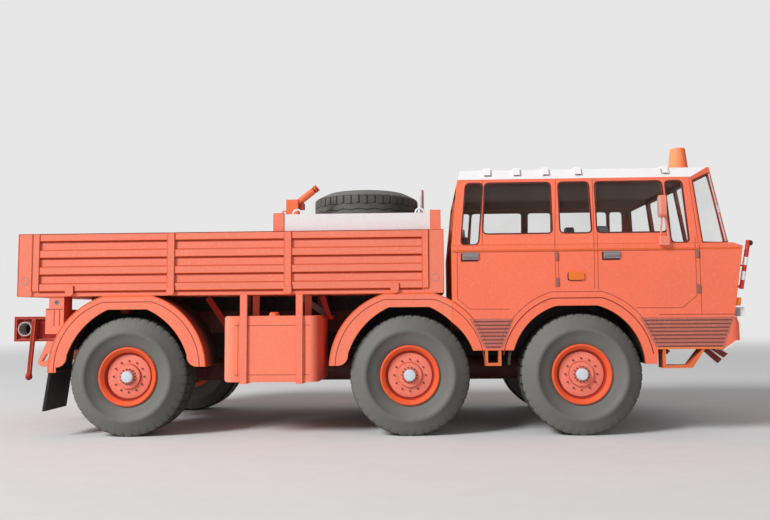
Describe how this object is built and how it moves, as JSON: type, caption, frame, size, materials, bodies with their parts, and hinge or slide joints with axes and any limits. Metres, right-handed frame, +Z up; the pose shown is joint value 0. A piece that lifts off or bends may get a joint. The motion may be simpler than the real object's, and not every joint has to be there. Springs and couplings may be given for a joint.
{
  "type": "card model of a six-wheel tractor truck",
  "caption": "Printed-card model of a heavy ballast tractor: crew cab, drop-side bed with ballast box and spare wheel, six turning wheels on axles",
  "frame": {"origin": "on the floor under the middle of the truck's length and width", "axes": "+X forward along the truck, +Y to its left, +Z up"},
  "size_m": [0.2418, 0.0852, 0.0889],
  "materials": {
    "red_card": "satin printed card",
    "wheel_card": "satin printed card",
    "tyre_card": "matt printed card",
    "white_card": "matt printed card",
    "black_card": "matt printed card",
    "brown_card": "matt printed card",
    "grey_card": "matt printed card",
    "amber_card": "satin printed card",
    "lamp_card": "satin printed card",
    "window_film": "clear film"
  },
  "bodies": {
    "truck": {"backbone_tube": "red_card", "ballast_block": "white_card", "ballast_wall": "red_card", "beacon": "amber_card", "bed_floor": "red_card", "bed_posts": "red_card", "bed_side_left": "red_card", "bed_side_right": "red_card", "cab_floor": "black_card", "cab_nose": "red_card", "cab_rear_wall": "red_card", "cab_roof": "white_card", "cab_seats": "brown_card", "cab_side_left": "red_card", "cab_side_right": "red_card", "cab_steps": "red_card", "cab_windows": "window_film", "cross_bearers": "red_card", "dashboard": "black_card", "frame_rails": "red_card", "front_axle": "red_card", "front_bumper": "red_card", "front_lamps": "lamp_card", "fuel_tanks": "red_card", "headboard": "red_card", "lifting_rings": "grey_card", "middle_axle": "red_card", "middle_mudguard_left": "red_card", "middle_mudguard_right": "red_card", "mirrors": "red_card", "mud_flaps": "black_card", "rear_axle": "red_card", "rear_beam": "red_card", "rear_mudguard_left": "red_card", "rear_mudguard_right": "red_card", "spare_stop": "red_card", "spare_tyre": "tyre_card", "spare_wheel": "wheel_card", "spare_winch": "red_card", "steering_wheel": "black_card", "tailgate": "red_card", "tank_straps": "red_card", "tow_coupling": "red_card", "tow_hooks": "black_card", "width_rods": "grey_card", "windscreen_frame": "red_card"},
    "wheel_front_right": {"front_right_tyre": "tyre_card", "front_right_wheel": "wheel_card"},
    "wheel_front_left": {"front_left_tyre": "tyre_card", "front_left_wheel": "wheel_card"},
    "wheel_middle_right": {"middle_right_tyre": "tyre_card", "middle_right_wheel": "wheel_card"},
    "wheel_middle_left": {"middle_left_tyre": "tyre_card", "middle_left_wheel": "wheel_card"},
    "wheel_rear_right": {"rear_right_tyre": "tyre_card", "rear_right_wheel": "wheel_card"},
    "wheel_rear_left": {"rear_left_tyre": "tyre_card", "rear_left_wheel": "wheel_card"}
  },
  "joints": [
    {"name": "front_right_spin", "type": "hinge", "parent": "truck", "child": "wheel_front_right", "pos_m": [0.06867, -0.03195, 0.01825], "axis": [0, 1, 0], "continuous": true},
    {"name": "front_left_spin", "type": "hinge", "parent": "truck", "child": "wheel_front_left", "pos_m": [0.06867, 0.03195, 0.01825], "axis": [0, 1, 0], "continuous": true},
    {"name": "middle_right_spin", "type": "hinge", "parent": "truck", "child": "wheel_middle_right", "pos_m": [0.01707, -0.03195, 0.01825], "axis": [0, 1, 0], "continuous": true},
    {"name": "middle_left_spin", "type": "hinge", "parent": "truck", "child": "wheel_middle_left", "pos_m": [0.01707, 0.03195, 0.01825], "axis": [0, 1, 0], "continuous": true},
    {"name": "rear_right_spin", "type": "hinge", "parent": "truck", "child": "wheel_rear_right", "pos_m": [-0.06932, -0.03195, 0.01825], "axis": [0, 1, 0], "continuous": true},
    {"name": "rear_left_spin", "type": "hinge", "parent": "truck", "child": "wheel_rear_left", "pos_m": [-0.06932, 0.03195, 0.01825], "axis": [0, 1, 0], "continuous": true}
  ]
}
